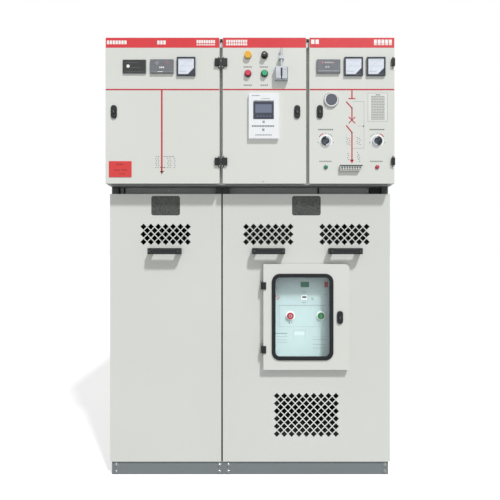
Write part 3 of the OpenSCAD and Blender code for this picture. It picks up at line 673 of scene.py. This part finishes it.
film("breaker_print_grey", stroke([(-53, 47), (apart + 24, 47)], 1.4) + dashes(-67, -14, -80, 4, 9)
     + [patch(-6, -36, -1, -28), patch(6, -33, 9, -27)], face_y, ink_grey, "cubicles", at=off)
faint = []
for z in (-94, -110, -121):
    faint += dashes(-62, -14, z, 2.4, 12)
for z in (-108, -130, -146):
    faint += dashes(apart - 36, apart + 24, z, 2.4, 14)
faint += dashes(51, 75, 107, 4, 4) + dashes(53, 73, 60, 5, 3) + dashes(96, 104, 76, 14, 2)
faint += dashes(apart + 18, apart + 28, 96, 3, 2)
faint += stroke([(-50, 46), (-50, -50), (apart - 6, -50)], 1.2)
faint += stroke([(14, -104), (14, -64), (68, -64), (68, -104)], 0.9)
faint += stroke([(apart - 42, -96), (apart + 26, -96)], 0.9)
film("breaker_print_faint", faint, face_y, ink_faint, "cubicles", at=off)
film("breaker_name_blank", [patch(19, -88, 63, -72)], face_y, moulded("pale_blank_plate", "D3E3E4", 0.4),
     "cubicles", 0.6, off)
film("breaker_button_off_mark", arc_band(0, 0, 6.0, 1.1), red_low[1], ink_white, "breaker_off",
     0.2, off)
film("breaker_button_on_mark", [patch(-0.5, -6.5, 0.5, 6.5)], green_low[1], ink_white, "breaker_on",
     0.2, on)

# ---------- glazed door
# A small pan-folded door over the breaker, with a float glass pane held in a
# black rubber gasket that grips both the glass and the sheet's cut edge.

rubber, tree, output, place = bare_material("black_epdm_rubber")
blooms_per_m = 90.0     # the dull patches that rubber sweats out
bloom = add(tree, "ShaderNodeTexNoise", {"Vector": place, "Scale": blooms_per_m, "Detail": 4.0})
tint = add(tree, "ShaderNodeMix", {"Factor": bloom.outputs["Fac"], "A": lin("17191C"), "B": lin("26292D")},
           data_type="RGBA")
rough = add(tree, "ShaderNodeMapRange", {"Value": bloom.outputs["Fac"], "To Min": 0.5, "To Max": 0.75})
shader = add(tree, "ShaderNodeBsdfPrincipled", {"Base Color": tint.outputs["Result"], "IOR": 1.5,
                                                "Specular IOR Level": 0.3, "Roughness": rough.outputs[0]})
tree.links.new(shader.outputs[0], output.inputs["Surface"])

# Float glass, flat and polished: clear, faintly wiped, and lets the lamp through.
glass, tree, output, place = bare_material("clear_float_glass")
smears_per_m = 9.0
smear = add(tree, "ShaderNodeTexNoise", {"Vector": place, "Scale": smears_per_m, "Detail": 5.0})
rough = add(tree, "ShaderNodeMapRange", {"Value": smear.outputs["Fac"], "From Min": 0.55, "From Max": 0.8,
                                         "To Min": 0.0, "To Max": 0.03})
pane = add(tree, "ShaderNodeBsdfPrincipled", {"Base Color": lin("FDFFFF"), "IOR": 1.45,
                                              "Transmission Weight": 1.0, "Roughness": rough.outputs[0]})
clear = add(tree, "ShaderNodeBsdfTransparent", {"Color": lin("FBFEFE")})
ray = add(tree, "ShaderNodeLightPath")
both = add(tree, "ShaderNodeMixShader", {0: ray.outputs["Is Shadow Ray"], 1: pane.outputs[0],
                                         2: clear.outputs[0]})
tree.links.new(both.outputs[0], output.inputs["Surface"])

door_paint = powder_coat("powder_coat_door_grey", "DFE1DC")
low, high = span("glazed_door")
sheet, round_out = 2.0, 20.0
eased("glazed_door", door_paint, 1.5, 3,
      ((high[0], high[2], round_out), (high[0] - sheet, high[2] - sheet, round_out - sheet)))
eased("glass_gasket", rubber, 2.0, 4)
keep("glass_pane", glass)

# ---------- instrument doors
# Three pan-folded doors close the instrument box. A red vinyl band runs along
# their tops, and the single-line diagram of the switchgear is laid over them in
# red tape, with screen-printed symbols in thin grey beside it.

band_red = moulded("red_vinyl_band", "DC363E", 0.35, 0.15, 0.03)
tape_red = moulded("red_mimic_tape", "C22B37", 0.35, 0.1, 0.05)
plate_red = moulded("red_engraved_plate", "DA3B3A", 0.3, 0.2, 0.04)
doors = {"door_left": "left_door", "door_middle": "middle_door", "door_right": "right_door"}
for node in doors:
    eased(node, door_paint, 1.0)
(left_low, left_high), (mid_low, mid_high), (right_low, right_high) = (span(n) for n in doors)
door_y = left_low[1]
top = left_high[2]
band_h = 44.0
trim = 0.9          # the band stops this short of the door's edges, in mm
bus_drop = 225.0
bus_w = 6.0
TAPE = 0.15         # thickness of the tape and bars laid over the print, in mm
for node, body in doors.items():
    low, high = span(node)
    x0, x1 = low[0] + trim, high[0] - trim
    film(node + "_band", [patch(x0, -band_h, x1, -trim)], door_y, band_red, body, at=(0, top))
    film(node + "_busbar_line", [patch(x0, -bus_drop - bus_w / 2, x1, -bus_drop + bus_w / 2)], door_y,
         tape_red, body, at=(0, top))

# Plain bars on the band, where names would stand: from an edge of the door, and
# for each row how far down it is and how high.
for name, body, edge, x0, x1, rows, count in (
        ("band_bars_left", "left_door", left_low[0], 6, 94, ((-13, 16),), 7),
        ("band_bars_middle", "left_door", left_low[0], 224, 263, ((-13, 17),), 3),
        ("band_bars_right", "left_door", left_high[0], -99, -17, ((-11, 14), (-29, 5)), 8),
        ("band_bars_hinge", "middle_door", mid_low[0], 15, 108, ((-10, 12), (-25, 9)), 9),
        ("band_bars_lock", "right_door", right_low[0], 7, 45, ((-9, 19),), 2),
        ("band_bars_edge", "right_door", right_high[0], -89, -8, ((-9, 18), (-29, 4)), 5)):
    bars = []
    for drop, height in rows:
        bars += dashes(x0, x1, drop - height / 2, height, count, 0.78)
    film(name, bars, door_y - FILM, ink_white, body, TAPE, (edge, top))

# Left door: the incoming feeder's line and arrow, faint symbols and a blank plate.
feeder = (left_low[0] + 243.5, top)
film("incoming_line", stroke([(0, -bus_drop), (0, -585)], 7) + [[(-6, -577), (6, -577), (0, -594)]],
     door_y - FILM, tape_red, "left_door", TAPE, feeder)
symbols = dashes(-26, -8, -515, 1.8, 2) + dashes(8, 57, -515, 2.2, 4)
for x in (-28, -18, 24, 34, 52):
    for k in range(5):
        step, z = x + (k % 2) * 3, -523 - k * 9.5
        symbols += [patch(step, z, step + 4, z - 3)]
symbols += dashes(-8, 18, -562, 4, 3)
film("incoming_symbols", symbols, door_y, ink_grey, "left_door", at=feeder)
film("incoming_tick", [patch(-8, -581, 11, -578.5)], door_y - FILM - TAPE, ink_dark, "left_door",
     0.1, feeder)
corner, plate_thick = (left_low[0], top), 1.6
film("blank_red_plate", [rounded_outline(64, -569.5, 98, 69, 2.5)], door_y, plate_red, "left_door",
     plate_thick, corner)
film("blank_plate_bars", dashes(46, 79, -549, 5, 4) + dashes(40, 64, -574, 5, 2) + dashes(72, 96, -573, 5, 2)
     + dashes(60, 86, -590, 4, 3), door_y - plate_thick, moulded("engraved_dark_red", "96302E", 0.5),
     "left_door", TAPE, corner)

# Right door: the outgoing feeder with its isolator blades, breaker cross and arrow.
feeder = (right_low[0] + 184.0, top)
blade = 23.0
film("outgoing_line",
     stroke([(0, -bus_drop), (0, -262)], 5.5) + stroke([(-15, -264), (15, -264)], 4.5)
     + stroke([(-blade, -279), (0, -305), (0, -349)], 5.0)
     + stroke([(-14, -343), (14, -371)], 4.0) + stroke([(-14, -371), (14, -343)], 4.0)
     + stroke([(-blade, -382), (0, -411), (0, -530)], 5.0) + [[(-9, -528), (9, -528), (0, -545)]],
     door_y - FILM, tape_red, "right_door", TAPE, feeder)
thin = stroke([(4, -276), (52, -276), (52, -479), (4, -479)], 1.1) + stroke([(22, -383), (52, -383)], 1.1)
film("interlock_schematic", thin, door_y, ink_faint, "right_door", at=feeder)
symbols = [dot(50, -383, 3.2, 12)]
for x, drop in ((-25, 432), (-15, 436), (20, 430), (30, 434), (-20, 500), (22, 496), (28, 508)):
    for k in range(4):
        step, z = x + (k % 2) * 3, -drop - k * 9
        symbols += [patch(step, z, step + 4.5, z - 2.6)]
film("outgoing_symbols", symbols, door_y, ink_grey, "right_door", at=feeder)

# Blank data plate: white film with a rounded border and plain grey rows.
plate = (right_low[0] + 295.0, top - 301.0)
film("data_plate", [rounded_outline(0, 0, 90, 128, 6)], door_y, moulded("satin_plate_film", "E4E6E1", 0.4),
     "right_door", at=plate)
border = []
for x0, z0, x1, z1 in ((-42, -61, -42, 61), (42, -61, 42, 61), (-42, 61, 42, 61), (-42, -61, 42, -61)):
    border += stroke([(x0, z0), (x1, z1)], 1.2)
rows = []
for k in range(15):
    rows += dashes(-28, 31, 46 - k * 7, 4.6, 9 if k % 3 else 5, 0.86)
film("data_plate_border", border + dashes(-8, 12, 53, 5, 3), door_y - FILM, ink_grey, "right_door",
     0.1, plate)
film("data_plate_rows", rows, door_y - FILM, moulded("screen_printed_plate_grey", "9FA19C", 0.5),
     "right_door", 0.1, plate)

# ---------- door frame trims
# In the gap between two doors the frame shows: a light post, with a black cap
# and a white corner piece at its top where the seal ends.

cap = bmesh.new()
corner = bmesh.new()
for x in (seam, split):
    box_between(cap, (x - 5.5, door_y + 9, top - 14), (x + 5.5, door_y + 24, top - 1))
    box_between(corner, (x - 4.5, door_y + 12, top - 36), (x + 4.5, door_y + 24, top - 14))
place_mesh("frame_end_caps", cap, black_nylon, "cubicles")
place_mesh("frame_corner_pieces", corner, white_abs, "cubicles")

# ---------- door devices
# Indicators and meters are moulded in grey or black plastic and clip into
# cut-outs in the doors. The meters carry a white scale behind a clear lens whose
# lower right corner is masked.

device_black = dull_black("black_phenolic", "2F3332", 0.3)
device_grey = dull_black("grey_abs_housing", "70747A", 0.4)
bezel_black = dull_black("meter_bezel_black", "343A46", 0.35)
lows, highs = span("indicators_left")
eased("indicators_left", device_grey, 1.4, 3)
eased("indicator_right", device_grey, 1.4, 3)
eased("meter_left", bezel_black, 0.8)
eased("meters_right", bezel_black, 0.8)
indicator_w, indicator_h, meter_w = 101.0, 59.0, 80.0
dev_z = (lows[2] + highs[2]) / 2
shield = (lows[0] + indicator_w / 2, dev_z)
counter = (highs[0] - indicator_w / 2, dev_z)
front_y, grey_y = door_y - 5.0, door_y - 8.0
skin = 0.8
film("display_shield", [rounded_outline(0, 0, indicator_w - 3, indicator_h - 3, 3)], front_y, device_black,
     "left_door", skin, shield)
film("display_lamp", [dot(-26, 0, 7, 20)], front_y - skin, ink_white, "left_door", 1.2,
     shield)
film("display_print", dashes(-14, 28, -6, 1.6, 9) + dashes(-36, 20, 16, 1.6, 7)
     + [patch(-40, -24.2, 44, -23)], front_y - skin, moulded("printed_mid_grey", "6F7472", 0.5), "left_door",
     0.1, shield)
film("counter_ring_white", arc_band(-20, 13, 5.5, 1.6), grey_y, moulded("printed_light_grey", "C9CBCD", 0.5),
     "left_door", 0.2, counter)
film("counter_ring_red", arc_band(22, 13, 6, 2.2), grey_y, moulded("printed_soft_red", "B86A6C", 0.5),
     "left_door", 0.2, counter)
film("counter_marks", dashes(-10, 12, -6, 6, 3) + [patch(-18, -25.5, 5, -23.2)], grey_y, ink_white,
     "left_door", 0.2, counter)
film("counter_groove", [patch(-47, -25, -20, -23.8), patch(7, -25, 47, -23.8)], grey_y,
     moulded("printed_grey", "9A9DA2", 0.5), "left_door", 0.15, counter)
low, high = span("indicator_right")
flags = ((low[0] + high[0]) / 2, dev_z)
film("relay_flag_white", dashes(-17, 26, 15, 6, 6) + dashes(-15, 5, -4, 7, 2)
     + dashes(-45, 45, -21, 3, 16, 0.6), grey_y, moulded("printed_pale_grey", "BFC1C3", 0.5), "right_door",
     0.2, flags)
film("relay_flag_red", [patch(-31, 11, -22, 19), patch(15, 13, 24, 18)], grey_y - 0.2,
     moulded("printed_flag_red", "C08084", 0.5), "right_door", 0.2, flags)

scale_white = moulded("meter_scale_white", "E3E9F4", 0.25, 0.5)
low, high = span("meter_left")
lows, highs = span("meters_right")
for name, body, x in (("meter_left", "left_door", (low[0] + high[0]) / 2),
                      ("meter_right_a", "right_door", lows[0] + meter_w / 2),
                      ("meter_right_b", "right_door", highs[0] - meter_w / 2)):
    y = grey_y + 3.0
    half = meter_w / 2 - 6.5
    face = [(-half, half), (-half, -half), (half - 26, -half), (half, 27 - half), (half, half)]
    film(name + "_scale_plate", [face], y, scale_white, body, 0.5, (x, dev_z))
    ticks = []
    for k in range(13):
        angle = radians(95 + 7 * k)
        ticks += stroke([(half - 10 + r * cos(angle), 8 - half + r * sin(angle))
                         for r in (46, 50 if k % 3 else 52)], 0.7)
    ticks += dashes(6 - half, 36 - half, 12 - half, 2.2, 9)
    film(name + "_scale_print", ticks, y - 0.5, ink_faint, body, 0.1, (x, dev_z))
    film(name + "_lens_line", [patch(5 - half, 1, half - 5, 1.6),
                               patch(6 - half, half - 7, half - 9, half - 5.8)], y - 0.6,
         moulded(name + "_printed_blue_grey", "AEB8C8", 0.4), body, 0.1, (x, dev_z))

# ---------- push buttons
# On the middle door: a yellow lamp and a black key switch over a red and a
# green push button. Each has a turned metal bezel ring, and a plain grey label
# bar below it.

eased("control_rings", zinc_plate("dark_chrome_bezel", "54494E", 0.3), 0.8)
eased("button_red", moulded("red_push_button", "DC3450", 0.25, 0.5), 1.2, 3)
eased("button_green", moulded("green_push_button", "2DB27A", 0.25, 0.5), 1.2, 3)
eased("lamp_yellow", moulded("yellow_lamp_lens", "F0B42A", 0.2, 0.6), 2.0, 4)
ring_y = span("control_rings")[0][1]
yellow_low, yellow_high = span("lamp_yellow")
button_r = 11.5
left_x, right_x = (yellow_low[0] + yellow_high[0]) / 2, span("button_green")[0][0] + button_r
red_z = (span("button_red")[0][2] + span("button_red")[1][2]) / 2
yellow_z = (yellow_low[2] + yellow_high[2]) / 2
collars = bmesh.new()
for x, z in ((left_x, yellow_z), (left_x, red_z), (right_x, red_z)):
    turned(collars, (x, door_y, z), (0, -1, 0), [(15.2, 0), (15.2, 3.5), (14.4, 4.4), (12.2, 4.4)], 36)
place_mesh("button_collars", collars, dull_black("dark_bezel", "4A4246", 0.35), "middle_door")
knob = bmesh.new()
turned(knob, (right_x, ring_y, yellow_z), (0, -1, 0), [(10.5, -6), (11, 0), (11, 2.0), (9.8, 3.0),
                                                       (0, 3.1)], 32)
place_mesh("key_switch_cap", knob, device_black, "middle_door")
film("key_switch_slot", [patch(-4, -1.5, 4, 3)], ring_y - 3.0, zinc, "middle_door", 0.4,
     (right_x, yellow_z))
labels = []
for x, x0, x1, rise, count in ((left_x, -18, 19, 30, 5), (right_x, -20, 18, 30, 5),
                               (left_x, -18, 19, -49, 5), (right_x, -16, 18, -49, 4)):
    labels += dashes(x + x0, x + x1, red_z + rise, 5.5, count)
film("control_labels", labels, door_y, moulded("screen_printed_label_grey", "7E8480", 0.5), "middle_door")
pan_screws("middle_door_stud", [((mid_low[0] + mid_high[0]) / 2 - 5, door_y, mid_low[2] + 10)],
           "middle_door", zinc, 2.4)

# ---------- protection relay
# A flush relay in white ABS with a dark display window, five keys below the
# display and plain printed rows where its legends would be.

eased("protection_relay", moulded("relay_white_abs", "F1F4F6", 0.35), 1.6, 3)
low, high = span("protection_relay")
relay, relay_y = ((low[0] + high[0]) / 2, (low[2] + high[2]) / 2), low[1]
pane_thick = 0.6
film("relay_window", [rounded_outline(-1, 24, 88, 76, 2)], relay_y,
     moulded("dark_navy_window", "2E3548", 0.2, 0.5), "middle_door", pane_thick, relay)
film("relay_display", [patch(-36, 13, 34, 49)], relay_y - pane_thick,
     moulded("grey_blue_display", "6B748B", 0.18, 0.5), "middle_door", 0.2, relay)
keys = bmesh.new()
for k in range(5):
    turned(keys, (relay[0] - 27 + k * 13.5, relay_y - pane_thick, relay[1] - 3), (0, -1, 0),
           [(4.6, 0), (4.6, 1.2), (3.8, 1.8), (0, 1.8)], 20)
place_mesh("relay_keys", keys, moulded("grey_blue_keys", "565E72", 0.35), "middle_door")
film("relay_print", dashes(-51, -16, 87, 4, 6) + dashes(-10, 27, 74, 3, 7) + dashes(-36, 36, -82, 5, 11),
     relay_y, moulded("printed_pale_blue_grey", "8E959D", 0.5), "middle_door", 0.15, relay)
film("relay_legends", dashes(-51, 46, -44, 7, 14) + dashes(-5, 5, -26, 10, 2) + dashes(-6, 4, -60, 11, 2),
     relay_y, moulded("printed_blue_grey", "626973", 0.5), "middle_door", 0.15, relay)

# ---------- interlock lock
# A key interlock in nickel-plated zinc casting: a split body with a black slot,
# and a turned bolt that stands up out of it through a small guide.

HAIR = 0.04         # the lock is the foremost piece, so its films are only this thick, in mm
nickel = zinc_plate("nickel_plated_casting", "C6CBD0", 0.3)
eased("interlock_lock", nickel, 1.2, 3)
low, high = span("interlock_lock")
lock = ((low[0] + high[0]) / 2, low[2] + 28.5)
film("interlock_slot", [patch(-2.6, -26, 2.6, 22)], low[1], black_nylon, "middle_door",
     HAIR, lock)
# Painted shade: dark bars down both sides of the body and along its foot; two short rows of dashes share
# their grey.
edges = [patch(-27, -27.5, 27, -24.5)] + [patch(side - 1.2, -24, side + 1.2, 24) for side in (-25.6, 25.6)]
edges += dashes(-22, -8, -21, 1.6, 3) + dashes(8, 22, 14, 1.6, 3)
film("interlock_shade", edges, low[1], moulded("plated_edge_dark", "4B5158", 0.4), "middle_door",
     HAIR, lock)

# ---------- gauge and sockets
# The gas pressure gauge has a white bezel round a dark glass. Each operating
# socket is a nickel flange with a bored sleeve for the crank, and a black half
# ring for the shutter's edge, and has a red and a grey arc printed round it.

eased("pressure_gauge", white_abs, 1.6, 3)
low, high = span("pressure_gauge")
gauge = ((low[0] + high[0]) / 2, (low[2] + high[2]) / 2)
film("gauge_glass", [dot(0, 0, 24, 40)], low[1], moulded("dark_gauge_glass", "5C616C", 0.12, 0.3),
     "right_door", 0.5, gauge)
# Painted shadow: a thin grey ring on the door just outside the gauge's bezel.
film("gauge_edge", arc_band(0, 0, 32.4, 1.6, steps=40), door_y, ink_grey, "right_door", 0.4,
     gauge)
eased("operating_sockets", nickel, 0.8)
low, high = span("operating_sockets")
flange, shutter_r, bore_r, arc_r = 22.0, 20.5, 14.2, 34
sock_z = (low[2] + high[2]) / 2
sock_x = (low[0] + flange, high[0] - flange)
half_turn = [pi * k / 16 for k in range(17)]
red_arcs, grey_arcs = [], []
for number, (x, side) in enumerate(zip(sock_x, (1, -1))):
    half = [(x - side * shutter_r * sin(t), sock_z - shutter_r * cos(t)) for t in half_turn]
    bore = [(x - side * bore_r * sin(t), sock_z + bore_r * cos(t)) for t in half_turn]
    film("socket_shutter_%d" % number, [half + bore], low[1],
         dull_black("shutter_black_%d" % number, "1F2A26", 0.3), "right_door", 0.5)
    mid = 128 if side > 0 else 52
    red_arcs += arc_band(x, sock_z, arc_r, 3.2, mid - 20, mid + 20, 12)
    grey_arcs += arc_band(x, sock_z, arc_r, 1.6, 160 - mid, 200 - mid, 12)
    for dx, dz in ((0, 35), (-33, -6), (33, -6)):
        grey_arcs.append(dot(x + dx, sock_z + dz, 2.0, 10))
    grey_arcs += dashes(x - 33, x + 33, sock_z + 50, 5.5, 9)
film("socket_escutcheons", [ring for x in sock_x for ring in arc_band(x, sock_z, flange + 3, 6, steps=40)],
     door_y, white_abs, "right_door", 0.8)
film("socket_red_arcs", red_arcs, door_y, tape_red, "right_door")
film("socket_print", grey_arcs, door_y, ink_grey, "right_door")

# ---------- position lamps
# Two small domed lamps show the switch position, green for open and red for
# closed. Below the diagram's arrow a pressed steel test block stands out.

low, high = span("position_lamps")
lamp_z = (low[2] + high[2]) / 2
lens_r = 9.0
reach = door_y - low[1]
dome_shape = [(lens_r, 0), (lens_r, reach * 0.4)]
dome_shape += [(lens_r * cos(pi / 12 * k), reach * (0.4 + 0.58 * sin(pi / 12 * k))) for k in range(1, 7)]
lens_green = moulded("green_lamp_lens", "1F7A52", 0.18, 0.6)
lens_red = moulded("red_lamp_lens", "B32F45", 0.18, 0.6)
for x, lens, name, lamp_slot in ((low[0] + lens_r, lens_green, "lamp_open", "green_plastic"),
                                 (high[0] - lens_r, lens_red, "lamp_closed", "red_plastic")):
    dome = bmesh.new()
    turned(dome, (x, door_y, lamp_z), (0, -1, 0), dome_shape, 32)
    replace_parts(place_mesh(name, dome, lens, "right_door"), "position_lamps")
bars = [bar for x0, x1 in ((low[0] - 19, low[0] + 36), (high[0] - 40, high[0] + 16))
        for bar in dashes(x0, x1, lamp_z + 25, 5, 8)]
film("lamp_labels", bars, door_y, moulded("lamp_label_grey", "868B86", 0.5), "right_door")
block, block_deep = (right_low[0] + 130.0, top - 553.0), 10
block_y = door_y - block_deep
film("test_block", [[(0, 0), (98, 0), (84, -26), (0, -26)]], door_y,
     zinc_plate("pressed_zinc_block", "B4B8B2", 0.4), "right_door", block_deep, block)
film("test_block_edge", [patch(0, -5, 97, 0)], block_y, ink_dark, "right_door", 0.3, block)
teeth = [patch(6 + 11 * k, -14, 12 + 11 * k, -7.5) for k in range(8)]
teeth += [patch(8 + 11 * k, -21, 11.5 + 11 * k, -17) for k in range(7)]
film("test_block_slots", teeth, block_y, ink_dark, "right_door", 0.3, block)
film("test_block_contacts", [dot(15 + 11 * k, -14, 2.2, 12) for k in range(7)], block_y, ink_white,
     "right_door", 0.5, block)

# ---------- locks and hinges
# Quarter-turn locks with an oval plate and a slotted barrel, and lift-off
# hinges, all in black die casting; their pins are plated steel.

die_black = dull_black("black_die_casting", "26292C", 0.35, 0.35)
for side, body in (("left", "left_lock"), ("middle", "middle_lock"), ("right", "right_lock"),
                   ("glazed", "window_lock")):
    eased("lock_plate_" + side, die_black, 2.0, 4)
    eased("lock_barrel_" + side, die_black, 0.6)
    eased("hinge_" + side, black_nylon, 1.0)
    low, high = span("lock_plate_" + side)
    film("lock_key_slot_" + side, [patch(-1.2, -5.5, 1.2, 5.5)], span("lock_barrel_" + side)[0][1], ink_grey,
         body, 0.15, ((low[0] + high[0]) / 2, (low[2] + high[2]) / 2))
eased("hinge_pins", zinc, 0.2, 1)

# ---------- sizes and end
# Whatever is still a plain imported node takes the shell's paint.

for node, target in frame["nodes"].items():
    if not target.hide_render and not (target.material_slots and target.material_slots[0].material):
        keep(node, shell_paint)
low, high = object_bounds()
